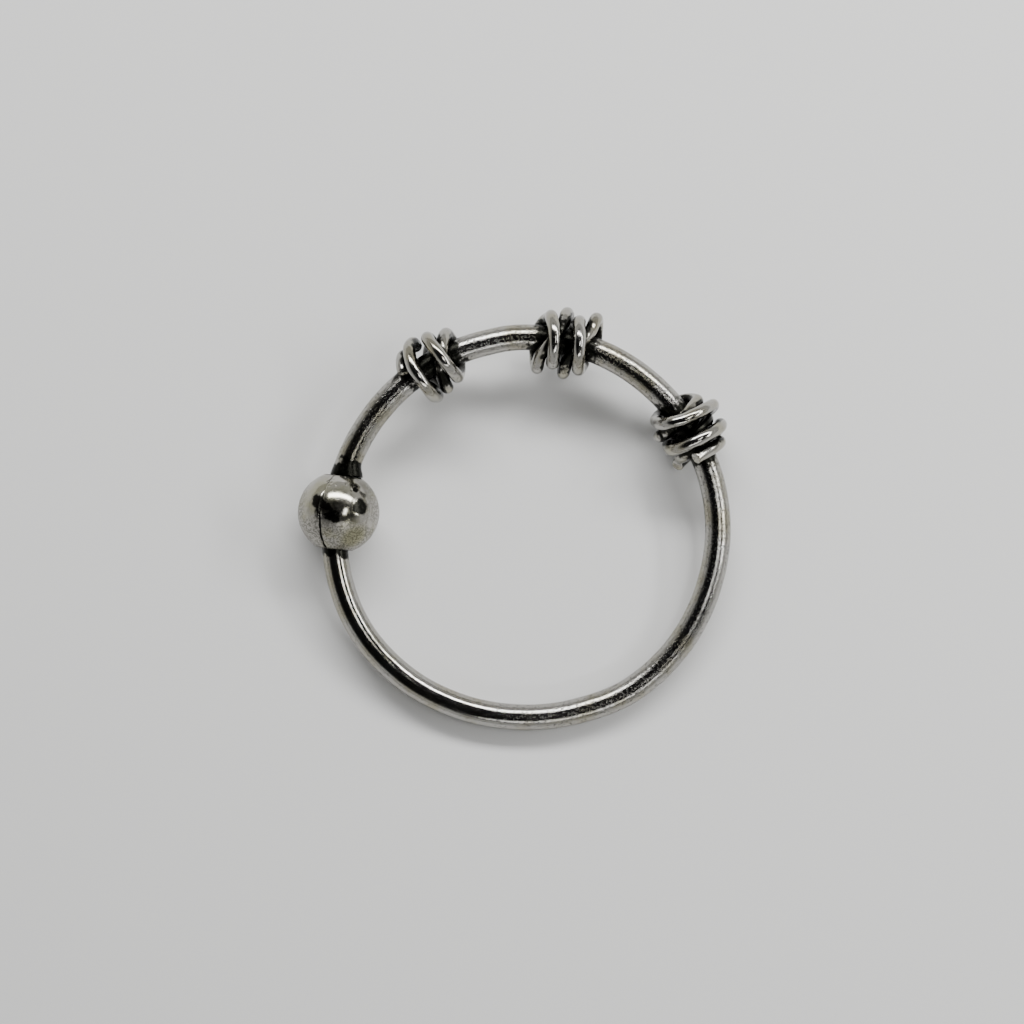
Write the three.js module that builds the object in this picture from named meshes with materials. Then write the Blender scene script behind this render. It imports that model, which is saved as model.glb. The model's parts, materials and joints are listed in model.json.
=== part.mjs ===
// A hoop of round silver wire for the nose, closed by a seamed bead and dressed with three wire knots.
// Millimetres. The ring is shaped flat in the XY plane, its front towards +Z and its bead on the left,
// and is then laid down the way it comes to rest on a flat surface.

import * as THREE from 'three';

// Driving dimensions
const hoopInnerDiameter = 10.65;
const hoopWire = 0.8;
const wrapWire = 0.41;
const beadDiameter = 2.46;
const beadFlat = 1.06;
const beadWall = 0.3;
const wireSeat = 0.75;
const clearance = 0.02;

// Places round the hoop, in degrees anticlockwise from the right
const beadAngle = 175;
const leftKnotAngle = 121.6;
const topKnotAngle = 77.8;
const rightKnotAngle = 30.8;

// Fineness of the meshes
const hoopSides = 16;
const hoopSteps = 108;
const wrapSides = 10;
const wrapStepsPerTurn = 20;
const beadSides = 28;
const beadRings = 12;

// How the hand-formed hoop leaves a true circle: swell is a share of its radius
const hoopShape = [
  { angle: 0, swell: 0.003 },
  { angle: 45, swell: -0.004 },
  { angle: 60, swell: -0.002 },
  { angle: 92, swell: 0.002 },
  { angle: 104, swell: -0.005 },
  { angle: 146, swell: -0.009 },
  { angle: 175, swell: -0.001 },
  { angle: 193, swell: 0.010 },
  { angle: 210, swell: 0.016 },
  { angle: 230, swell: 0.006 },
  { angle: 248, swell: -0.006 },
  { angle: 268, swell: -0.013 },
  { angle: 286, swell: -0.009 },
  { angle: 304, swell: 0.006 },
  { angle: 322, swell: 0.005 },
  { angle: 346, swell: 0.001 },
];

// The way each wrapped wire takes round the hoop wire. turn is in degrees: 0 at the front, 90 at the
// hoop's outer edge, 180 at the back and 270 at its inner edge. along is measured clockwise from the
// knot's middle and lift is the rise off the hoop wire, both as shares of the wrapped wire's diameter.
const leftKnot = [
  { turn: 22, along: -1.62, lift: 0 },
  { turn: 60, along: -1.2, lift: 0.05 },
  { turn: 90, along: -0.92, lift: 0.1 },
  { turn: 135, along: -0.8, lift: 0 },
  { turn: 180, along: -0.35, lift: 0 },
  { turn: 225, along: 0.3, lift: 0 },
  { turn: 270, along: 0.55, lift: 0.5 },
  { turn: 292, along: 0.58, lift: 0.15 },
  { turn: 315, along: 0.68, lift: 0 },
  { turn: 360, along: 1.2, lift: 0 },
  { turn: 405, along: 1.85, lift: 0 },
  { turn: 450, along: 2.25, lift: 0 },
  { turn: 540, along: 2.45, lift: 0 },
  { turn: 600, along: 2.05, lift: 0 },
  { turn: 630, along: 1.8, lift: 0.1 },
  { turn: 675, along: 1.65, lift: 0.6 },
  { turn: 720, along: 1.25, lift: 1.08 },
  { turn: 765, along: 1, lift: 0.78 },
  { turn: 810, along: 1.15, lift: 0 },
  { turn: 840, along: 1.1, lift: 0 },
  { turn: 870, along: 0.7, lift: 0.6 },
  { turn: 900, along: 0.15, lift: 1.05 },
  { turn: 945, along: -0.45, lift: 1 },
  { turn: 990, along: -0.7, lift: 0.6 },
  { turn: 1035, along: -0.88, lift: 0.8 },
  { turn: 1080, along: -0.9, lift: 0.8 },
  { turn: 1125, along: -0.45, lift: 0.7 },
  { turn: 1170, along: 0.05, lift: 0.5 },
  { turn: 1200, along: 0.1, lift: 0.5 },
];

const topKnot = [
  { turn: 150, along: 1.95, lift: 0 },
  { turn: 90, along: 1.5, lift: 0.7 },
  { turn: 45, along: 1.35, lift: 0 },
  { turn: 0, along: 0.88, lift: 0 },
  { turn: -45, along: 0.4, lift: 0 },
  { turn: -70, along: 0.32, lift: 0.08 },
  { turn: -90, along: 0.3, lift: 0.65 },
  { turn: -135, along: 0.2, lift: 0.95 },
  { turn: -180, along: -0.07, lift: 1.05 },
  { turn: -225, along: -0.25, lift: 0.95 },
  { turn: -270, along: -0.42, lift: 0.45 },
  { turn: -315, along: -0.5, lift: 0 },
  { turn: -360, along: -0.92, lift: 0 },
  { turn: -405, along: -1.7, lift: 0 },
  { turn: -427, along: -1.95, lift: 0.2 },
  { turn: -450, along: -2.05, lift: 0.65 },
  { turn: -540, along: -2.3, lift: 0.1 },
  { turn: -600, along: -1.75, lift: 0 },
  { turn: -630, along: -1.45, lift: 0 },
  { turn: -675, along: -1.35, lift: 0.55 },
  { turn: -720, along: -0.95, lift: 1.05 },
  { turn: -765, along: -0.78, lift: 0.85 },
  { turn: -790, along: -0.82, lift: 0.3 },
  { turn: -810, along: -0.84, lift: 0 },
  { turn: -855, along: -0.45, lift: 0 },
  { turn: -900, along: -0.07, lift: 0 },
  { turn: -945, along: 0.25, lift: 0 },
  { turn: -990, along: 0.5, lift: 0 },
  { turn: -1035, along: 0.5, lift: 0.55 },
  { turn: -1080, along: 0.85, lift: 1.05 },
  { turn: -1125, along: 1.36, lift: 0.72 },
  { turn: -1170, along: 1.52, lift: 0.1 },
  { turn: -1215, along: 1.65, lift: 0 },
];

const rightKnot = [
  { turn: 588, along: 1.9, lift: 1 },
  { turn: 540, along: 1.3, lift: 1.05 },
  { turn: 495, along: 0.9, lift: 0.9 },
  { turn: 450, along: 0.62, lift: 0.65 },
  { turn: 405, along: 0.76, lift: 0.85 },
  { turn: 360, along: 0.78, lift: 1.05 },
  { turn: 315, along: 0.6, lift: 0.95 },
  { turn: 295, along: 0.38, lift: 0.6 },
  { turn: 270, along: 0.22, lift: 0.05 },
  { turn: 248, along: 0.16, lift: 0.48 },
  { turn: 225, along: 0, lift: 0.85 },
  { turn: 180, along: -0.3, lift: 1.05 },
  { turn: 135, along: -0.5, lift: 1.05 },
  { turn: 90, along: -0.65, lift: 0.9 },
  { turn: 45, along: -0.72, lift: 1 },
  { turn: 0, along: -0.95, lift: 1.05 },
  { turn: -20, along: -1.33, lift: 1.05 },
  { turn: -33, along: -1.6, lift: 0.9 },
  { turn: -45, along: -1.8, lift: 0.68 },
  { turn: -70, along: -2.1, lift: 0.1 },
  { turn: -120, along: -2.3, lift: 0 },
  { turn: -180, along: -2.35, lift: 0 },
  { turn: -270, along: -1.5, lift: 0.15 },
  { turn: -315, along: -1.3, lift: 0 },
  { turn: -360, along: -1.1, lift: 0 },
  { turn: -405, along: -0.9, lift: 0 },
  { turn: -430, along: -0.9, lift: 0.1 },
  { turn: -450, along: -1, lift: 0.55 },
  { turn: -472, along: -0.98, lift: 0.1 },
  { turn: -495, along: -0.72, lift: 0 },
  { turn: -540, along: -0.45, lift: 0 },
  { turn: -585, along: -0.3, lift: 0 },
  { turn: -630, along: -0.15, lift: 0 },
  { turn: -675, along: 0.1, lift: 0 },
  { turn: -720, along: 0.45, lift: 0 },
  { turn: -765, along: 1.25, lift: 0 },
  { turn: -785, along: 1.4, lift: 0 },
  { turn: -810, along: 1.42, lift: 0 },
  { turn: -855, along: 1.46, lift: 0 },
  { turn: -900, along: 1.5, lift: 0 },
  { turn: -990, along: 1.6, lift: 0 },
  { turn: -1060, along: 1.8, lift: 0.08 },
  { turn: -1085, along: 1.88, lift: 0.4 },
  { turn: -1098, along: 1.95, lift: 0.75 },
];

const hoopRadius = (hoopInnerDiameter + hoopWire) / 2;
const beadLength = Math.sqrt(beadDiameter ** 2 - beadFlat ** 2);
const front = new THREE.Vector3(0, 0, 1);

// Reads a column at a place by a smooth curve through the table's rows, which are in order of their
// key. The curve never swings past the values that it runs through.
function readTable(table, key, column, place) {
  const last = table.length - 1;
  const rising = Math.sign(table[last][key] - table[0][key]);
  let row = 0;
  while (row < last - 1 && (table[row + 1][key] - place) * rising < 0) row += 1;
  const secant = (index) => (table[index + 1][column] - table[index][column])
    / (table[index + 1][key] - table[index][key]);
  const slope = (index) => {
    const before = secant(Math.max(index - 1, 0));
    const after = secant(Math.min(index, last - 1));
    return before * after > 0 ? (2 * before * after) / (before + after) : 0;
  };
  const low = table[row];
  const high = table[row + 1];
  const span = high[key] - low[key];
  const share = (place - low[key]) / span;
  const squared = share * share;
  const cubed = squared * share;
  return (2 * cubed - 3 * squared + 1) * low[column]
    + (cubed - 2 * squared + share) * span * slope(row)
    + (3 * squared - 2 * cubed) * high[column]
    + (cubed - squared) * span * slope(row + 1);
}

// The shape table with a row repeated past each end, so that the hoop closes smoothly.
const closedShape = [
  { ...hoopShape.at(-1), angle: hoopShape.at(-1).angle - 360 },
  ...hoopShape,
  { ...hoopShape[0], angle: hoopShape[0].angle + 360 },
  { ...hoopShape[1], angle: hoopShape[1].angle + 360 },
];

// The middle of the hoop wire at an angle in degrees.
function hoopPoint(angle) {
  const within = ((angle % 360) + 360) % 360;
  const radius = hoopRadius * (1 + readTable(closedShape, 'angle', 'swell', within));
  const radians = THREE.MathUtils.degToRad(angle);
  return new THREE.Vector3(radius * Math.cos(radians), radius * Math.sin(radians), 0);
}

// The direction away from the hoop's middle, square to its wire, at an angle in degrees.
function hoopOutward(angle) {
  const along = hoopPoint(angle - 0.5).sub(hoopPoint(angle + 0.5)).normalize();
  return front.clone().cross(along).normalize();
}

function lengthToDegrees(length) {
  return THREE.MathUtils.radToDeg(length / hoopRadius);
}

class HoopPath extends THREE.Curve {
  constructor() {
    super();
    const hidden = lengthToDegrees(beadLength / 2 - wireSeat);
    this.start = beadAngle - hidden;
    this.end = beadAngle - 360 + hidden;
  }

  getPoint(share) {
    return hoopPoint(THREE.MathUtils.lerp(this.start, this.end, share));
  }
}

class WrapPath extends THREE.Curve {
  constructor(table, knotAngle) {
    super();
    this.table = table;
    this.knotAngle = knotAngle;
    this.turns = Math.abs(table.at(-1).turn - table[0].turn) / 360;
  }

  getPoint(share) {
    const turn = THREE.MathUtils.lerp(this.table[0].turn, this.table.at(-1).turn, share);
    const along = wrapWire * readTable(this.table, 'turn', 'along', turn);
    const lift = wrapWire * readTable(this.table, 'turn', 'lift', turn);
    const angle = this.knotAngle - lengthToDegrees(along);
    const reach = hoopWire / 2 + clearance + wrapWire / 2 + lift;
    const radians = THREE.MathUtils.degToRad(turn);
    return hoopPoint(angle)
      .addScaledVector(front, reach * Math.cos(radians))
      .addScaledVector(hoopOutward(angle), reach * Math.sin(radians));
  }
}

// A round wire with closed flat ends, of a given diameter, swept along a path.
function roundWire(path, diameter, sides, steps) {
  const outline = [];
  for (let side = 0; side < sides; side += 1) {
    const turn = (2 * Math.PI * side) / sides;
    outline.push(new THREE.Vector2(Math.cos(turn), Math.sin(turn)).multiplyScalar(diameter / 2));
  }
  const section = new THREE.Shape(outline);
  return new THREE.ExtrudeGeometry(section, { steps, extrudePath: path, bevelEnabled: false });
}

// The bead round its own axis: a hollow ball cut flat at its two ends, with a hole in each.
function beadShell() {
  const outer = beadDiameter / 2;
  const inner = outer - beadWall;
  const slantRoom = ((beadWall / 2) * (beadLength - beadWall)) / (2 * hoopRadius);
  const hole = hoopWire / 2 + slantRoom + clearance;
  const profile = [];
  const flat = Math.asin(beadLength / 2 / outer);
  for (let ring = 0; ring <= beadRings; ring += 1) {
    const slope = THREE.MathUtils.lerp(-flat, flat, ring / beadRings);
    profile.push(new THREE.Vector2(outer * Math.cos(slope), outer * Math.sin(slope)));
  }
  profile.push(new THREE.Vector2(hole, beadLength / 2));
  const mouth = Math.acos(hole / inner);
  for (let ring = 0; ring <= beadRings; ring += 1) {
    const slope = THREE.MathUtils.lerp(mouth, -mouth, ring / beadRings);
    profile.push(new THREE.Vector2(inner * Math.cos(slope), inner * Math.sin(slope)));
  }
  profile.push(new THREE.Vector2(hole, -beadLength / 2));
  profile.push(profile[0].clone());
  return new THREE.LatheGeometry(profile, beadSides);
}

function silver(color, roughness) {
  return new THREE.MeshStandardMaterial({ color, roughness, metalness: 1 });
}

function named(name, geometry, material) {
  const mesh = new THREE.Mesh(geometry, material);
  mesh.name = name;
  return mesh;
}

function makeHoop() {
  const geometry = roundWire(new HoopPath(), hoopWire, hoopSides, hoopSteps);
  return named('hoop_wire', geometry, silver(0x9a9890, 0.3));
}

function makeBead() {
  const mesh = named('closing_bead', beadShell(), silver(0xa8a498, 0.35));
  const reach = lengthToDegrees((beadLength - beadWall) / 2);
  const upper = hoopPoint(beadAngle - reach);
  const lower = hoopPoint(beadAngle + reach);
  mesh.position.copy(upper).lerp(lower, 0.5);
  mesh.quaternion.setFromUnitVectors(new THREE.Vector3(0, 1, 0), upper.sub(lower).normalize());
  return mesh;
}

function makeKnot(name, table, angle) {
  const path = new WrapPath(table, angle);
  const steps = Math.ceil(path.turns * wrapStepsPerTurn);
  return named(name, roundWire(path, wrapWire, wrapSides, steps), silver(0x8e8c86, 0.3));
}

// Every corner of the pieces as they lie in a group, and the middle of their weight.
function measure(group) {
  group.updateMatrixWorld(true);
  const corners = [];
  const balance = new THREE.Vector3();
  let volume = 0;
  for (const mesh of group.children) {
    const places = mesh.geometry.getAttribute('position');
    const order = mesh.geometry.index;
    const count = order ? order.count : places.count;
    const face = [];
    for (let index = 0; index < count; index += 1) {
      const corner = new THREE.Vector3().fromBufferAttribute(places, order ? order.getX(index) : index);
      corner.applyMatrix4(mesh.matrixWorld);
      corners.push(corner);
      face.push(corner);
      if (face.length === 3) {
        const [a, b, c] = face.splice(0);
        const wedge = a.dot(b.clone().cross(c)) / 6;
        volume += wedge;
        balance.addScaledVector(a.clone().add(b).add(c), wedge / 4);
      }
    }
  }
  return { corners, balance: balance.divideScalar(volume) };
}

// Whether a point, seen from above, lies inside a triangle of three corners.
function covers(triangle, point) {
  const sides = triangle.map((corner, index) => {
    const next = triangle[(index + 1) % 3];
    return (next.x - corner.x) * (point.y - corner.y) - (next.y - corner.y) * (point.x - corner.x);
  });
  return sides.every((side) => side >= 0) || sides.every((side) => side <= 0);
}

// The three corners that a set of points rests on, under its middle of weight.
// It starts on a wide triangle high above, and takes in the point deepest below it until none is left.
function restingCorners(corners, balance) {
  const far = 100 * hoopInnerDiameter;
  let triangle = [0, 1, 2].map((index) => {
    const turn = (2 * Math.PI * index) / 3;
    return new THREE.Vector3(balance.x + far * Math.cos(turn), balance.y + far * Math.sin(turn), far);
  });
  for (;;) {
    const plane = new THREE.Plane().setFromCoplanarPoints(...triangle);
    if (plane.normal.z < 0) plane.negate();
    let deepest = null;
    let depth = -1e-6;
    for (const corner of corners) {
      const height = plane.distanceToPoint(corner);
      if (height < depth) {
        depth = height;
        deepest = corner;
      }
    }
    if (!deepest) return plane;
    triangle = [0, 1, 2]
      .map((index) => triangle.with(index, deepest))
      .find((candidate) => covers(candidate, balance));
  }
}

// Turns the ring so that it lies still on what it stands on, and centres it there.
function layDown(ring) {
  for (let round = 0; round < 4; round += 1) {
    const { corners, balance } = measure(ring);
    const plane = restingCorners(corners, balance);
    const turn = new THREE.Quaternion().setFromUnitVectors(plane.normal, front);
    ring.quaternion.premultiply(turn);
  }
  const box = new THREE.Box3().setFromPoints(measure(ring).corners);
  const middle = box.getCenter(new THREE.Vector3());
  ring.position.set(-middle.x, -middle.y, -box.min.z);
}

const ring = new THREE.Group();
ring.add(
  makeHoop(),
  makeBead(),
  makeKnot('knot_left', leftKnot, leftKnotAngle),
  makeKnot('knot_top', topKnot, topKnotAngle),
  makeKnot('knot_right', rightKnot, rightKnotAngle),
);
layDown(ring);

export default ring;
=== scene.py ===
import json
import math
import random

import bmesh
import bpy
from mathutils import Matrix, Vector, noise
from mathutils.bvhtree import BVHTree
from mathutils.kdtree import KDTree

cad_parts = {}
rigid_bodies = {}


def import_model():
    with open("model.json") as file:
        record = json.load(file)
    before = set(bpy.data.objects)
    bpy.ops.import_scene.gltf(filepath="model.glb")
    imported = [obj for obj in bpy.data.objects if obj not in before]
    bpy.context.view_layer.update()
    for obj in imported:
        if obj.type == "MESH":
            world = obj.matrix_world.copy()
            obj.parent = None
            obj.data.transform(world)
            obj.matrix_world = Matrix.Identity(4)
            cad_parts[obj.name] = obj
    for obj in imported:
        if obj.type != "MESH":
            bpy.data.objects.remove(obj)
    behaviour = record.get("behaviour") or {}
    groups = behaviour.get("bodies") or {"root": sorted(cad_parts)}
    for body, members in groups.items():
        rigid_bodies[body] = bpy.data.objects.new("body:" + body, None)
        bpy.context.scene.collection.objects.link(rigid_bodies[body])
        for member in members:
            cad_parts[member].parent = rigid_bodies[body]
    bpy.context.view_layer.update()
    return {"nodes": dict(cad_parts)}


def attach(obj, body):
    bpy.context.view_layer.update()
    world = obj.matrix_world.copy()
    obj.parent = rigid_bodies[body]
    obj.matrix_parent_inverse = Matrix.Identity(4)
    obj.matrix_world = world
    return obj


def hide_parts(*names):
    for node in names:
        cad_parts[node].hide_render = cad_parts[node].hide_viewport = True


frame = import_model()
mm = 0.001  # pieces are worked on in millimetres and brought to metres when done


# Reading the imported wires

packed = {
    "hoopSides": 16,
    "wrapSides": 10,
    "weld": 0.0005,
    "flatWithin": 0.003,  # radians between the triangles of one flat face
    "rimBand": 0.03,  # how near the bead's end its rim is looked for
}


def wirePath(nodeName, sides):
    # the middle of each ring of corners in millimetres, from the wire's upper end to its other end
    shape = bmesh.new()
    shape.from_mesh(frame["nodes"][nodeName].data)
    bmesh.ops.scale(shape, verts=shape.verts, vec=(1 / mm,) * 3)
    bmesh.ops.remove_doubles(shape, verts=shape.verts, dist=packed["weld"])
    bmesh.ops.dissolve_limit(shape, angle_limit=packed["flatWithin"], verts=shape.verts,
                             edges=shape.edges)
    caps = [face for face in shape.faces if len(face.verts) == sides]
    ring = list(max(caps, key=lambda face: face.calc_center_median().y).verts)
    seen = set(ring)
    path = []
    while ring:
        path.append(sum((corner.co for corner in ring), Vector()) / len(ring))
        ahead = [edge.other_vert(corner) for corner in ring for edge in corner.link_edges]
        ring = [corner for corner in dict.fromkeys(ahead) if corner not in seen]
        seen.update(ring)
    shape.free()
    return path


hoopPath = wirePath("hoop_wire", packed["hoopSides"])
average = sum(hoopPath, Vector()) / len(hoopPath)
front = sum(((b - average).cross(a - average) for a, b in zip(hoopPath, hoopPath[1:])), Vector())
front.normalize()
if front.z < 0:
    front.negate()
right = (Vector((1, 0, 0)) - front * front.x).normalized()
up = front.cross(right)
hoopAxes = Matrix((right, up, front)).transposed()
spans = [[place.dot(axis) for place in hoopPath] for axis in (right, up, front)]
hoopMiddle = hoopAxes @ Vector((min(span) + max(span)) / 2 for span in spans)
print("hoop wire read:", len(hoopPath), "places, middle", [round(v, 3) for v in hoopMiddle])


# Camera, straight at the front of the hoop

view = {
    "lens": 100,
    "sensor": 36,
    "frameWidth": 30.68,  # of the picture, at the hoop's distance
    "hoopRight": 0.43,  # of the picture's middle
    "hoopBelow": 0.46,
    "clipStart": 0.001,
    "clipEnd": 10,
}

cameraData = bpy.data.cameras.new("photoCamera")
cameraData.lens = view["lens"]
cameraData.sensor_width = view["sensor"]
cameraData.clip_start = view["clipStart"]
cameraData.clip_end = view["clipEnd"]
photoCamera = bpy.data.objects.new("photoCamera", cameraData)
bpy.context.scene.collection.objects.link(photoCamera)
cameraAway = view["frameWidth"] * view["lens"] / view["sensor"]
cameraPlace = hoopMiddle + front * cameraAway - right * view["hoopRight"] + up * view["hoopBelow"]
photoCamera.matrix_world = Matrix.LocRotScale(cameraPlace * mm, hoopAxes.to_quaternion(), None)
bpy.context.scene.camera = photoCamera
print("camera set", round(cameraAway, 1), "mm from the hoop")


# Working on a piece

def only(piece):
    bpy.ops.object.select_all(action="DESELECT")
    piece.select_set(True)
    bpy.context.view_layer.objects.active = piece


def editing(piece, mode):
    only(piece)
    bpy.ops.object.mode_set(mode="EDIT")
    bpy.ops.mesh.select_mode(type=mode)
    bpy.ops.mesh.select_all(action="DESELECT")


def pick(piece, part, wanted):
    # selects the faces, edges or vertices that the test is true for
    bpy.ops.mesh.select_all(action="DESELECT")
    bpy.ops.object.mode_set(mode="OBJECT")
    for item in getattr(piece.data, part):
        item.select = wanted(item)
    bpy.ops.object.mode_set(mode="EDIT")


def finished(piece, node, angle):
    # brings a piece to metres and hands it to the frame in place of its CAD node
    bpy.ops.object.mode_set(mode="OBJECT")
    only(piece)
    bpy.ops.object.shade_smooth_by_angle(angle=math.radians(angle))
    piece.data.transform(Matrix.Scale(mm, 4))
    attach(piece, "root")
    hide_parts(node)
    return piece


def unevenSurface(piece, values):
    # presses the surface in a little, here more and there less
    clouds = bpy.data.textures.new(f"{piece.name}_unevenness", "CLOUDS")
    clouds.noise_scale = values["unevenSize"]
    clouds.noise_depth = 1
    press = piece.modifiers.new("unevenness", "DISPLACE")
    press.texture = clouds
    press.texture_coords = "LOCAL"
    press.mid_level = 1
    press.strength = values["unevenDepth"]
    only(piece)
    bpy.ops.object.modifier_apply(modifier=press.name)


def smooth(share):
    share = min(max(share, 0), 1)
    return share * share * (3 - 2 * share)


def rising(value, steepness, start):
    # a smooth step from 0 to 1
    return smooth(steepness * value - start)


# Wires

def makeWire(name, path, wire):
    # a round wire along a path, its ends still open
    bpy.ops.object.select_all(action="DESELECT")
    bpy.ops.curve.primitive_bezier_curve_add()
    piece = bpy.context.object
    piece.name = name
    curve = piece.data
    curve.splines.clear()
    spline = curve.splines.new("BEZIER")
    spline.bezier_points.add(len(path) - 1)
    for point, place in zip(spline.bezier_points, path):
        point.co = place
        point.handle_left_type = "AUTO"
        point.handle_right_type = "AUTO"
    spline.resolution_u = wire["steps"]
    curve.dimensions = "3D"
    curve.twist_mode = "MINIMUM"
    curve.bevel_depth = wire["thickness"] / 2
    curve.bevel_resolution = wire["sides"] // 2 - 2
    only(piece)
    bpy.ops.object.convert(target="MESH")
    piece = bpy.context.object
    piece.data.name = name
    return piece


def straighten(piece, sides):
    # where each corner would be if the wire were straight, for streaks that follow it
    corners = [corner.co.copy() for corner in piece.data.vertices]
    places = []
    length = 0
    before = None
    for first in range(0, len(corners), sides):
        ring = corners[first:first + sides]
        middle = sum(ring, Vector()) / len(ring)
        if before is not None:
            length += (middle - before).length
        before = middle
        radius = (ring[0] - middle).length
        for side in range(len(ring)):
            turn = 2 * math.pi * side / sides
            places.append((length, radius * math.cos(turn), radius * math.sin(turn)))
    return corners, places


def storeStraight(piece, corners, places):
    nearest = KDTree(len(corners))
    for index, corner in enumerate(corners):
        nearest.insert(corner, index)
    nearest.balance()
    straight = piece.data.attributes.new("straight", "FLOAT_VECTOR", "POINT")
    for index, corner in enumerate(piece.data.vertices):
        straight.data[index].vector = places[nearest.find(corner.co)[1]]


cutEnd = {
    "roundSteps": 3,
    "stepIn": 0.12,  # of the hollow's two steps, in thicknesses of the wire as their depths are
    "firstDepth": 0.03,
    "secondDepth": 0.04,
}


def cutEnds(piece, wire):
    # closes the two ends with a worn edge and a shallow hollow, as cutters leave them
    editing(piece, "EDGE")
    bpy.ops.mesh.select_all(action="SELECT")
    bpy.ops.mesh.fill_holes(sides=0)
    bpy.ops.mesh.select_mode(type="FACE")
    pick(piece, "polygons", lambda face: len(face.vertices) == wire["sides"])
    bpy.ops.mesh.bevel(offset=wire["endRound"], segments=cutEnd["roundSteps"], affect="EDGES")
    pick(piece, "polygons", lambda face: len(face.vertices) == wire["sides"])
    for depth in (cutEnd["firstDepth"], cutEnd["secondDepth"]):
        bpy.ops.mesh.inset(thickness=wire["thickness"] * cutEnd["stepIn"],
                           depth=-wire["thickness"] * depth)
    bpy.ops.mesh.select_all(action="SELECT")
    bpy.ops.mesh.normals_make_consistent(inside=False)
    bpy.ops.object.mode_set(mode="OBJECT")


hoop = {
    "thickness": 0.788,
    "sides": 40,
    "steps": 6,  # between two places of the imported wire
    "endRound": 0.02,
    "unevenSize": 0.7,
    "unevenDepth": 0.012,
    "smoothAngle": 40,
    "neckLength": 0.42,  # of the thicker, blackened stretch above the bead
    "neckSwell": 0.05,
    "neckLean": 0.42,  # extra swell towards the inside of the hoop
    "nearBead": 1.5,  # keeps the far side of the hoop out of it
}

wraps = {
    "thickness": 0.39,
    "sides": 24,
    "steps": 5,
    "endRound": 0.03,
    "unevenSize": 0.35,
    "unevenDepth": 0.008,
    "smoothAngle": 40,
}

beadCorners = [corner.co / mm for corner in frame["nodes"]["closing_bead"].data.vertices]
endToEnd = (hoopPath[0] - hoopPath[-1]).normalized()
reach = [corner.dot(endToEnd) for corner in beadCorners]


def beadEnd(edge):
    # the middle of one of the bead's flat ends
    rim = [corner for corner, far in zip(beadCorners, reach) if abs(far - edge) < packed["rimBand"]]
    low = Vector(min(corner[i] for corner in rim) for i in range(3))
    high = Vector(max(corner[i] for corner in rim) for i in range(3))
    return (low + high) / 2


beadTop = beadEnd(max(reach))
beadBottom = beadEnd(min(reach))
beadAxis = (beadTop - beadBottom).normalized()
beadMiddle = (beadTop + beadBottom) / 2
beadOutward = beadMiddle - hoopMiddle
beadOutward -= beadAxis * beadOutward.dot(beadAxis)
beadOutward.normalize()
print("bead", [round(v, 3) for v in beadMiddle], "length", round((beadTop - beadBottom).length, 3))

silverHoop = makeWire("silverHoop", hoopPath, hoop)
hoopCorners, hoopPlaces = straighten(silverHoop, hoop["sides"])
for index, corner in enumerate(silverHoop.data.vertices):
    above = (corner.co - beadTop).dot(beadAxis)
    if 0 <= above < hoop["neckLength"] and (corner.co - beadTop).length < hoop["nearBead"]:
        first = index - index % hoop["sides"]
        middle = sum(hoopCorners[first:first + hoop["sides"]], Vector()) / hoop["sides"]
        spoke = corner.co - middle
        inward = max(0, -spoke.normalized().dot(beadOutward))
        share = smooth(1 - above / hoop["neckLength"])
        corner.co += spoke * share * (hoop["neckSwell"] + hoop["neckLean"] * inward ** 2)
unevenSurface(silverHoop, hoop)
cutEnds(silverHoop, hoop)
storeStraight(silverHoop, hoopCorners, hoopPlaces)
finished(silverHoop, "hoop_wire", hoop["smoothAngle"])
print("hoop made,", len(silverHoop.data.vertices), "corners")

knots = []
for node, name in (("knot_left", "leftKnotWire"), ("knot_top", "topKnotWire"),
                   ("knot_right", "rightKnotWire")):
    knot = makeWire(name, wirePath(node, packed["wrapSides"]), wraps)
    knotCorners, knotPlaces = straighten(knot, wraps["sides"])
    unevenSurface(knot, wraps)
    cutEnds(knot, wraps)
    storeStraight(knot, knotCorners, knotPlaces)
    knots.append(finished(knot, node, wraps["smoothAngle"]))
    print("knot made:", name, len(knot.data.vertices), "corners")


# The bead: a hollow ball with flat ends, a hole in each and a seam from hole to hole

bead = {
    "radius": 1.225,
    "length": 2.21,
    "hole": 0.44,
    "inside": 0.93,
    "segments": 256,
    "rings": 128,
    "insideRings": 24,
    "cutWithin": 0.0001,
    "onRing": 0.004,  # how near a ring its corners are looked for
    "weld": 0.005,
    "rimRound": 0.035,
    "rimSteps": 3,
    "smoothAngle": 35,
    "unevenSize": 0.6,
    "unevenDepth": 0.008,
    "skin": 0.1,  # above the inside, where the outer face starts
    "endMargin": 0.01,  # below the flat ends, where it stops
    "seamTurn": 66,  # degrees from straight out of the hoop, towards the front
    "seamDepth": 0.06,
    "seamWidth": 0.042,
    "seamEdge": 1.3,  # more makes its floor narrower
    "seamFade": 0.3,  # of its depth that is left near the upper hole
    "seamFades": (3, 0.6),  # steepness and start going up, in radii
    "seamDip": 0.006,
    "dipWidth": 4,  # widths of the seam
    "seamWander": 2.5,  # degrees
    "wanderScale": 1.6,
    "wanderPlace": 3.1,  # in the noise
    "pits": 60,
    "pitHeights": ((0.55, 0.86), (-0.86, 0.3)),  # in radii above the middle
    "pitWidths": (0.035, 0.075),
    "pitDepths": (0.008, 0.022),
    # turn in degrees, height in radii, width and depth
    "dents": ((118, -0.2, 0.3, 0.012), (60, 0.5, 0.2, 0.008), (250, 0.1, 0.35, 0.015)),
    "grain": 0.009,
    "grainScale": 13,
    "grainLevel": 0.5,
    "grainStarts": (3, 0.3),  # steepness and start going down, in radii
    "seed": 11,
}

halfLength = bead["length"] / 2
outerFace = bead["inside"] + bead["skin"]


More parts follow.
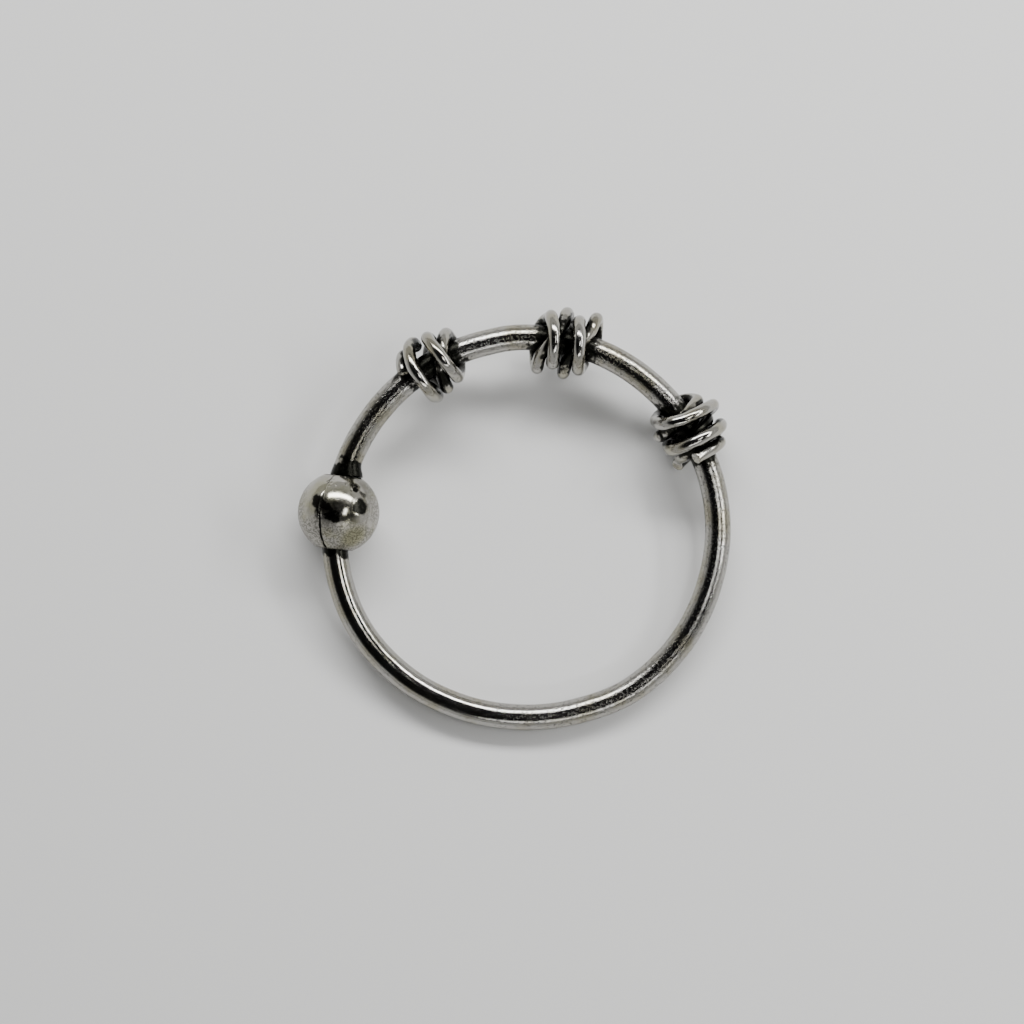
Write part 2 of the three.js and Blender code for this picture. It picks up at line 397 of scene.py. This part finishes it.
def bisectEnds(height):
    for side in (1, -1):
        bpy.ops.mesh.bisect(plane_co=(0, 0, side * height), plane_no=(0, 0, side),
                            clear_outer=True, threshold=bead["cutWithin"])
        bpy.ops.mesh.select_linked()


bpy.ops.object.select_all(action="DESELECT")
bpy.ops.mesh.primitive_uv_sphere_add(
    segments=bead["segments"], ring_count=bead["rings"], radius=bead["radius"])
seamedBead = bpy.context.object
seamedBead.name = "seamedBead"
editing(seamedBead, "VERT")
bpy.ops.mesh.select_all(action="SELECT")
bisectEnds(halfLength)
bpy.ops.object.mode_set(mode="OBJECT")
print("bead started")


def ringTest(height, radius):
    # picks the corners that lie on a ring round the bead's axis
    def test(corner):
        away = math.hypot(corner.co.x, corner.co.y)
        return (abs(corner.co.z - height) < bead["onRing"]
                and abs(away - radius) < bead["onRing"])
    return test


# each end turns in over the wall, and goes down the hole
rimRadius = math.sqrt(bead["radius"] ** 2 - halfLength ** 2)
mouth = math.sqrt(bead["inside"] ** 2 - bead["hole"] ** 2)
shrink = bead["hole"] / rimRadius
for side in (1, -1):
    editing(seamedBead, "VERT")
    pick(seamedBead, "vertices", ringTest(side * halfLength, rimRadius))
    bpy.ops.mesh.extrude_region_move()
    bpy.ops.transform.resize(value=(shrink, shrink, 1), center_override=(0, 0, 0))
    bpy.ops.mesh.extrude_region_move(
        TRANSFORM_OT_translate={"value": (0, 0, side * (mouth - halfLength))})
    bpy.ops.object.mode_set(mode="OBJECT")

# the wall's inner face is a smaller ball, welded to the two holes
editing(seamedBead, "VERT")
bpy.ops.mesh.primitive_uv_sphere_add(segments=bead["segments"], ring_count=bead["insideRings"],
                                     radius=bead["inside"])
bisectEnds(mouth)
for side in (1, -1):
    pick(seamedBead, "vertices", ringTest(side * mouth, bead["hole"]))
    bpy.ops.mesh.remove_doubles(threshold=bead["weld"])
bpy.ops.mesh.select_all(action="SELECT")
bpy.ops.mesh.normals_make_consistent(inside=False)
bpy.ops.object.mode_set(mode="OBJECT")
print("bead hollowed,", len(seamedBead.data.vertices), "corners")

# the rims are rounded over
for radius in (rimRadius, bead["hole"]):
    editing(seamedBead, "EDGE")
    rimCorners = seamedBead.data.vertices
    onUpper = ringTest(halfLength, radius)
    onLower = ringTest(-halfLength, radius)
    pick(seamedBead, "edges", lambda edge: all(onUpper(rimCorners[i]) for i in edge.vertices)
         or all(onLower(rimCorners[i]) for i in edge.vertices))
    bpy.ops.mesh.bevel(offset=bead["rimRound"], segments=bead["rimSteps"], affect="EDGES")
    bpy.ops.object.mode_set(mode="OBJECT")


def onBead(degrees, height):
    # a place on the outer face, its height in radii above the bead's middle
    turn = math.radians(degrees)
    flat = math.sqrt(1 - height * height)
    return Vector((flat * math.cos(turn), flat * math.sin(turn), height)) * bead["radius"]


# pits at random and the three dents: place, width and depth
random.seed(bead["seed"])
hollows = []
for _ in range(bead["pits"]):
    turn = random.uniform(0, 360)
    height = random.choice([random.uniform(*span) for span in bead["pitHeights"]])
    hollows.append((onBead(turn, height), random.uniform(*bead["pitWidths"]),
                    random.uniform(*bead["pitDepths"])))
for turn, height, width, depth in bead["dents"]:
    hollows.append((onBead(turn, height), width, depth))
cornerTree = KDTree(len(seamedBead.data.vertices))
for index, corner in enumerate(seamedBead.data.vertices):
    cornerTree.insert(corner.co, index)
cornerTree.balance()
pressed = {}
for place, width, depth in hollows:
    for corner, index, away in cornerTree.find_range(place, width):
        if corner.length > outerFace:
            pressed[index] = pressed.get(index, 0) + depth * (1 - (away / width) ** 2) ** 2

# they are pressed into the outer face with the seam, and with a fine grain on the lower half
inSeam = {}
for index, corner in enumerate(seamedBead.data.vertices):
    fromMiddle = corner.co.length
    if fromMiddle < outerFace or abs(corner.co.z) > halfLength - bead["endMargin"]:
        continue
    noisePlace = Vector((0, bead["wanderPlace"], corner.co.z * bead["wanderScale"]))
    seamAngle = math.radians(bead["seamTurn"] + noise.noise(noisePlace) * bead["seamWander"])
    across, out = math.sin(seamAngle), math.cos(seamAngle)
    aside = corner.co.x * across - corner.co.y * out
    height = corner.co.z / bead["radius"]
    depth = pressed.get(index, 0)
    if corner.co.x * out + corner.co.y * across > 0:
        seamShare = 1 - (1 - bead["seamFade"]) * rising(height, *bead["seamFades"])
        within = max(0, 1 - abs(aside) / bead["seamWidth"])
        inSeam[index] = seamShare * within
        depth += seamShare * bead["seamDepth"] * within ** bead["seamEdge"]
        depth += bead["seamDip"] * math.exp(-(aside / (bead["dipWidth"] * bead["seamWidth"])) ** 2)
    grain = bead["grainLevel"] + noise.noise(corner.co * bead["grainScale"])
    depth += rising(-height, *bead["grainStarts"]) * bead["grain"] * grain
    corner.co *= 1 - depth / fromMiddle
unevenSurface(seamedBead, bead)
beadPose = Matrix((beadOutward, beadAxis.cross(beadOutward), beadAxis)).transposed().to_4x4()
seamedBead.data.transform(Matrix.Translation(beadMiddle) @ beadPose)
finished(seamedBead, "closing_bead", bead["smoothAngle"])
print("bead made,", len(seamedBead.data.vertices), "corners")


# How black (oxide patina in the hollows together with painted shade there, and painted dark
# reflections on the bead), how worn and how green each place is, kept on the meshes for the finish
# to read

# rays measure how enclosed each place is; enclosed places are painted black, partly as oxide patina
# and partly as painted shade
recesses = {
    "rays": 26,
    "reach": 0.55,  # how far a ray looks for a neighbour
    "lift": 0.006,  # of a ray's start off the surface
    "nearBead": 1.3,
    "neckBlack": 0.5,  # how far the blackening goes up the hoop above the bead
    "footBlack": 0.2,  # and down it below
    "blackEnd": 1.2,  # of those lengths, where the blackening has faded out
    "blackness": 0.65,
    "raggedScale": 5,
    "ragged": 0.8,
}

stainsAndPaintedReflections = {
    "depth": 0.85,
    "seamDepth": 1.8,
    "end": 1.5,  # of a stain's width, where it has faded out
    # from the bead's middle to the right and up in radii, then how wide
    # the near-black spots are painted dark reflections in the bead's polished face; the green one
    # is a real stain
    "nearBlack": ((-0.46, 0.28, 0.17), (-0.30, 0.04, 0.24), (-0.05, -0.10, 0.16),
              (0.57, 0.13, 0.2), (0.45, 0.55, 0.07), (0.66, 0.42, 0.07)),
    "green": ((0.42, -0.62, 0.34),),
}

wear = {
    "patch": 0.5,  # how uneven its edges are
    "beadLeast": 0.12,
    "beadPatchScale": 1.4,
    "beadLow": (4.5, 0.35),  # steepness and start of its smooth steps
    "beadSide": (3, 1.9),
    "wireMost": 0.9,
    "wireLess": 0.5,  # where the hoop is smoothest
    "wirePatchScale": 0.9,
    "wireLow": (2.2, 0.9),
    "smoothRight": -0.82,  # the way from the hoop's middle to its smoothest stretch
    "smoothUp": -0.57,
}


def rayFan(count):
    # directions spread evenly over the half ball round +Z, closer together towards its pole
    fan = []
    for index in range(count):
        height = math.sqrt(1 - (index + 0.5) / count)
        turn = index * math.pi * (3 - math.sqrt(5))
        away = math.sqrt(1 - height * height)
        fan.append(Vector((away * math.cos(turn), away * math.sin(turn), height)))
    return fan


def stainAndPaintedReflectionDepth(place, spots):
    # how deep a place of the bead lies in a spot; the spots are the real green stain and the
    # painted dark reflections
    depth = 0
    for aside, above, width in spots:
        spot = right * aside + up * above + front * math.sqrt(1 - aside ** 2 - above ** 2)
        away = (place - beadMiddle - spot * bead["radius"]).length / bead["radius"]
        depth = max(depth, smooth(stainsAndPaintedReflections["end"] - away / width))
    return depth


def beadWear(place):
    # bright above, and worn matt below and at the sides
    below = (beadMiddle - place).dot(beadAxis) / bead["radius"]
    aside = abs((place - beadMiddle).dot(right)) / bead["radius"]
    patch = noise.noise(place * wear["beadPatchScale"]) * wear["patch"]
    worn = max(rising(value, steepness, start - patch) for value, (steepness, start)
               in ((below, wear["beadLow"]), (aside, wear["beadSide"])))
    return wear["beadLeast"] + (1 - wear["beadLeast"]) * worn


def wireWear(place):
    # smoothest low on the hoop's left
    low = (place - hoopMiddle).dot(wear["smoothRight"] * right + wear["smoothUp"] * up) / hoopSize
    patch = noise.noise(place * wear["wirePatchScale"]) * wear["patch"]
    steepness, start = wear["wireLow"]
    return wear["wireMost"] - wear["wireLess"] * rising(low, steepness, start - patch)


def endBlack(place):
    # the black neck and foot of the hoop where it meets the bead
    ragged = 1 + recesses["ragged"] * noise.noise(place * recesses["raggedScale"])
    depth = 0
    for end, way, length in ((beadTop, beadAxis, recesses["neckBlack"]),
                             (beadBottom, -beadAxis, recesses["footBlack"])):
        if (place - end).length < recesses["nearBead"]:
            share = recesses["blackEnd"] - (place - end).dot(way) / (length * ragged)
            depth = max(depth, recesses["blackness"] * smooth(share))
    return depth


pieces = [silverHoop, seamedBead, *knots]
metalCorners = []
metalFaces = []
for piece in pieces:
    first = len(metalCorners)
    metalCorners += [corner.co / mm for corner in piece.data.vertices]
    metalFaces += [[first + index for index in face.vertices] for face in piece.data.polygons]
allMetal = BVHTree.FromPolygons(metalCorners, metalFaces)
fan = rayFan(recesses["rays"])
hoopSize = (beadMiddle - hoopMiddle).length
for piece in pieces:
    for name in ("oxideAndPaintedShade", "rough", "green"):
        piece.data.attributes.new(name, "FLOAT", "POINT")
    oxideAndPaintedShade, rough, green = (piece.data.attributes[name].data
                            for name in ("oxideAndPaintedShade", "rough", "green"))
    for index, corner in enumerate(piece.data.vertices):
        place = corner.co / mm
        turned = corner.normal.to_track_quat("Z", "Y")
        start = place + corner.normal * recesses["lift"]
        # the share of rays that meet metal nearby, painted black later as oxide patina together
        # with painted shade
        met = sum(1 for ray in fan
                  if allMetal.ray_cast(start, turned @ ray, recesses["reach"])[0] is not None)
        depth = met / len(fan)
        if piece is seamedBead:
            # on the bead, painted dark reflections and its black seam are added to the oxide and
            # painted shade of its hollows
            depth = max(depth, stainsAndPaintedReflections["depth"] * stainAndPaintedReflectionDepth(place, stainsAndPaintedReflections["nearBlack"]),
                        stainsAndPaintedReflections["seamDepth"] * inSeam.get(index, 0))
            green[index].value = stainAndPaintedReflectionDepth(place, stainsAndPaintedReflections["green"])
        elif piece is silverHoop:
            depth = max(depth, endBlack(place))
        oxideAndPaintedShade[index].value = depth
        rough[index].value = beadWear(place) if piece is seamedBead else wireWear(place)
print("recesses measured")


# Oxidised silver

noiseRange = (0.3, 0.7)  # most of a noise lies between these


def addNode(tree, kind, x, y, **values):
    node = tree.nodes.new(kind)
    node.location = (x, y)
    for name, value in values.items():
        setattr(node, name, value)
    return node


def attributeOf(tree, name, y):
    return addNode(tree, "ShaderNodeAttribute", -1800, y, attribute_name=name).outputs


def ramp(tree, source, x, y, low, high, toLow, toHigh):
    # a smooth step from one value to another
    node = addNode(tree, "ShaderNodeMapRange", x, y, interpolation_type="SMOOTHSTEP")
    for name, value in (("From Min", low), ("From Max", high), ("To Min", toLow),
                        ("To Max", toHigh)):
        node.inputs[name].default_value = value
    tree.links.new(source, node.inputs["Value"])
    return node.outputs["Result"]


def mixColor(tree, share, first, second, x, y):
    node = addNode(tree, "ShaderNodeMix", x, y, data_type="RGBA")
    for socket, value in ((node.inputs[6], first), (node.inputs[7], second)):
        if isinstance(value, tuple):
            socket.default_value = value
        else:
            tree.links.new(value, socket)
    tree.links.new(share, node.inputs[0])
    return node.outputs[2]


def combine(tree, operation, first, second, x, y):
    node = addNode(tree, "ShaderNodeMath", x, y, operation=operation)
    for socket, value in zip(node.inputs, (first, second)):
        if isinstance(value, (int, float)):
            socket.default_value = value
        else:
            tree.links.new(value, socket)
    return node.outputs[0]


def noiseOf(tree, coords, stretch, scale, detail, y):
    mapping = addNode(tree, "ShaderNodeMapping", -1500, y)
    mapping.inputs["Scale"].default_value = stretch
    tree.links.new(coords, mapping.inputs["Vector"])
    node = addNode(tree, "ShaderNodeTexNoise", -1300, y)
    node.inputs["Scale"].default_value = scale
    node.inputs["Detail"].default_value = detail
    node.inputs["Roughness"].default_value = 0.6
    tree.links.new(mapping.outputs["Vector"], node.inputs["Vector"])
    return node.outputs["Fac"]


def oxidisedSilver(name, look):
    material = bpy.data.materials.new(name)
    material.use_nodes = True
    tree = material.node_tree
    shader = tree.nodes["Principled BSDF"]
    shader.inputs["Metallic"].default_value = 1
    if look["followsWire"]:
        coords = attributeOf(tree, "straight", 0)["Vector"]
        size = 1
    else:
        coords = addNode(tree, "ShaderNodeTexCoord", -1800, 0).outputs["Object"]
        size = 1 / mm
    even = (size, size, size)
    along = (size * look["stretch"], size, size)
    oxideAndPaintedShade = attributeOf(tree, "oxideAndPaintedShade", -300)["Fac"]
    rough = attributeOf(tree, "rough", -500)["Fac"]
    green = attributeOf(tree, "green", -700)["Fac"]
    grain = noiseOf(tree, coords, even, look["grainScale"], detail=3, y=300)
    specks = noiseOf(tree, coords, even, look["speckScale"], detail=2, y=100)
    clouds = noiseOf(tree, coords, even, look["cloudScale"], detail=3, y=-100)
    streaks = noiseOf(tree, coords, along, look["streakScale"], detail=4, y=-300)
    blotches = noiseOf(tree, coords, even, look["blotchScale"], detail=3, y=-500)

    # pits and scars where the surface is worn, tarnish in clouds, black in the recesses: oxide
    # patina there together with painted shade, and painted dark reflections on the bead
    pits = ramp(tree, specks, -1000, 100, look["speckFrom"], look["speckFrom"] + look["speckEdge"],
                0, 1)
    scars = ramp(tree, streaks, -1000, -200, look["scarFrom"], look["scarFrom"] + look["scarEdge"],
                 0, 1)
    pits = combine(tree, "MAXIMUM", pits, scars, -850, 50)
    pits = combine(tree, "MULTIPLY", pits, rough, -800, 0)
    tarnish = ramp(tree, clouds, -1000, -100, look["tarnishFrom"], look["tarnishTo"],
                   0, look["tarnish"])
    tarnish = combine(tree, "MAXIMUM", tarnish, green, -850, -100)
    ragged = ramp(tree, blotches, -1000, 300, *noiseRange, look["raggedLow"], look["raggedHigh"])
    broken = combine(tree, "MULTIPLY", oxideAndPaintedShade, ragged, -800, -300)
    black = ramp(tree, broken, -600, -300, look["blackFrom"], look["blackTo"], 0, 1)

    pitShade = combine(tree, "MULTIPLY", pits, look["pitShade"], -600, 300)
    color = mixColor(tree, tarnish, look["silver"], look["tarnished"], -600, 100)
    color = mixColor(tree, pitShade, color, look["nearBlack"], -400, 100)
    # near black where the metal is enclosed: oxide patina with painted shade, and on the bead
    # painted dark reflections
    color = mixColor(tree, black, color, look["nearBlack"], -200, 100)
    tree.links.new(color, shader.inputs["Base Color"])

    roughness = ramp(tree, streaks, -600, -500, *noiseRange,
                     look["roughness"] * look["polish"], look["roughness"] * look["dull"])
    for row, (source, extra) in enumerate(((black, look["blackRough"]), (pits, look["pitRough"]),
                                           (rough, look["matte"]))):
        y = -500 - 150 * row
        more = combine(tree, "MULTIPLY", source, extra, -400, y)
        roughness = combine(tree, "ADD", roughness, more, -200, y)
    tree.links.new(roughness, shader.inputs["Roughness"])

    height = combine(tree, "ADD",
                     combine(tree, "MULTIPLY", grain, look["grainDepth"], -600, -950),
                     combine(tree, "MULTIPLY", streaks, look["streakDepth"], -600, -1100),
                     -400, -950)
    height = combine(tree, "SUBTRACT", height,
                     combine(tree, "MULTIPLY", pits, look["pitDepth"], -400, -1100), -250, -950)
    height = combine(tree, "MULTIPLY", height, rough, -200, -1050)
    bump = addNode(tree, "ShaderNodeBump", -100, -950)
    bump.inputs["Strength"].default_value = 1
    bump.inputs["Distance"].default_value = look["bumpUnit"] * mm
    tree.links.new(height, bump.inputs["Height"])
    tree.links.new(bump.outputs["Normal"], shader.inputs["Normal"])
    return material


silverLook = {
    "followsWire": True,
    "silver": (0.375, 0.366, 0.342, 1),
    "tarnished": (0.30, 0.28, 0.21, 1),
    # the near-black colour of the oxide patina, also used for painted shade in the hollows and
    # painted dark reflections on the bead
    "nearBlack": (0.012, 0.012, 0.010, 1),
    "grainScale": 24,  # features to a millimetre, about
    "speckScale": 13,
    "speckFrom": 0.55,
    "speckEdge": 0.09,
    "scarFrom": 0.6,
    "scarEdge": 0.12,
    "cloudScale": 1.1,
    "streakScale": 11,
    "stretch": 0.35,  # less makes the streaks longer
    "tarnish": 0.8,
    "tarnishFrom": 0.42,
    "tarnishTo": 0.68,
    "blotchScale": 4,
    "raggedLow": 0.35,
    "raggedHigh": 1.7,
    "blackFrom": 0.06,
    "blackTo": 0.2,
    "pitShade": 0.75,
    "roughness": 0.1,
    "polish": 0.75,  # of that roughness, in the smoothest streaks
    "dull": 1.35,  # and in the dullest
    "blackRough": 0.12,
    "pitRough": 0.18,
    "matte": 0.03,  # extra roughness where the surface is worn
    "grainDepth": 6.5,  # in bump units, as the next two are
    "streakDepth": 1.5,
    "pitDepth": 1,
    "bumpUnit": 0.001,
}

beadLook = {
    **silverLook,
    "followsWire": False,
    "stretch": 1,
    "silver": (0.42, 0.405, 0.37, 1),
    "tarnished": (0.32, 0.31, 0.21, 1),
    "speckScale": 19,
    "speckFrom": 0.46,
    "pitShade": 0.5,
    "roughness": 0.11,
    "matte": 0.26,
    "grainScale": 16,
    "streakScale": 9,
    "grainDepth": 4,
    "streakDepth": 2,
    "blackFrom": 0.12,
    "blackTo": 0.68,
}

knotLook = {
    **silverLook,
    "speckFrom": 0.63,
    "scarFrom": 0.66,
    "roughness": 0.11,
    "blackFrom": 0.08,
    "blackTo": 0.24,
    "grainDepth": 2.5,
}


def assign(piece, material):
    piece.data.materials.clear()
    piece.data.materials.append(material)


assign(silverHoop, oxidisedSilver("hoopSilver", silverLook))
assign(seamedBead, oxidisedSilver("beadSilver", beadLook))
knotSilver = oxidisedSilver("knotSilver", knotLook)
for knot in knots:
    assign(knot, knotSilver)
print("silver finished")


# A pale floor and soft studio light

studio = {
    "floorSize": 0.6,
    "floorColor": (0.72, 0.72, 0.71, 1),
    "floorRoughness": 0.75,
    "overhead": (0.010, 0.010, 0.011, 1),
    "walls": (0.66, 0.66, 0.65, 1),
    "darkWithin": 50,  # degrees off the dark middle overhead
    "lightBeyond": 72,
    "darkLean": 6,  # degrees from the hoop's front to the dark middle, towards the top knot
}

softLights = {
    # turn round the hoop's front from its right, tilt off its front, distance, width, height, watts
    "upperSoftbox": (84, 49, 110, 136, 22, 0.19),
    "rightSoftbox": (14, 55, 110, 84, 13, 0.055),
    "lowerSoftbox": (290, 42, 110, 80, 9, 0.02),
    "frontSoftbox": (8, 20, 110, 34, 15, 0.014),
}

bpy.ops.object.select_all(action="DESELECT")
bpy.ops.mesh.primitive_plane_add(size=studio["floorSize"])
floor = bpy.context.object
floor.name = "paleFloor"
floorPaint = bpy.data.materials.new("palePaint")
floorPaint.use_nodes = True
floorShader = floorPaint.node_tree.nodes["Principled BSDF"]
floorShader.inputs["Base Color"].default_value = studio["floorColor"]
floorShader.inputs["Roughness"].default_value = studio["floorRoughness"]
assign(floor, floorPaint)

world = bpy.data.worlds.new("studioRoom")
bpy.context.scene.world = world
world.use_nodes = True
room = world.node_tree
directions = addNode(room, "ShaderNodeTexCoord", -900, 0).outputs["Generated"]
facing = addNode(room, "ShaderNodeVectorMath", -700, 0, operation="DOT_PRODUCT")
lean = math.radians(studio["darkLean"])
facing.inputs[1].default_value = front * math.cos(lean) + up * math.sin(lean)
room.links.new(directions, facing.inputs[0])
darkShare = ramp(room, facing.outputs["Value"], -500, 0,
                 math.cos(math.radians(studio["lightBeyond"])),
                 math.cos(math.radians(studio["darkWithin"])), 0, 1)
sky = mixColor(room, darkShare, studio["walls"], studio["overhead"], -300, 0)
room.links.new(sky, room.nodes["Background"].inputs["Color"])

for name, (turn, tilt, away, width, height, watts) in softLights.items():
    lampData = bpy.data.lights.new(name, "AREA")
    lampData.shape = "RECTANGLE"
    lampData.size = width * mm
    lampData.size_y = height * mm
    lampData.energy = watts
    lamp = bpy.data.objects.new(name, lampData)
    bpy.context.scene.collection.objects.link(lamp)
    around = math.radians(turn)
    off = math.radians(tilt)
    towards = (right * math.cos(around) + up * math.sin(around)) * math.sin(off)
    towards += front * math.cos(off)
    lamp.matrix_world = Matrix.LocRotScale(
        (hoopMiddle + towards * away) * mm, (-towards).to_track_quat("-Z", "Y"), None)
print("studio lit")
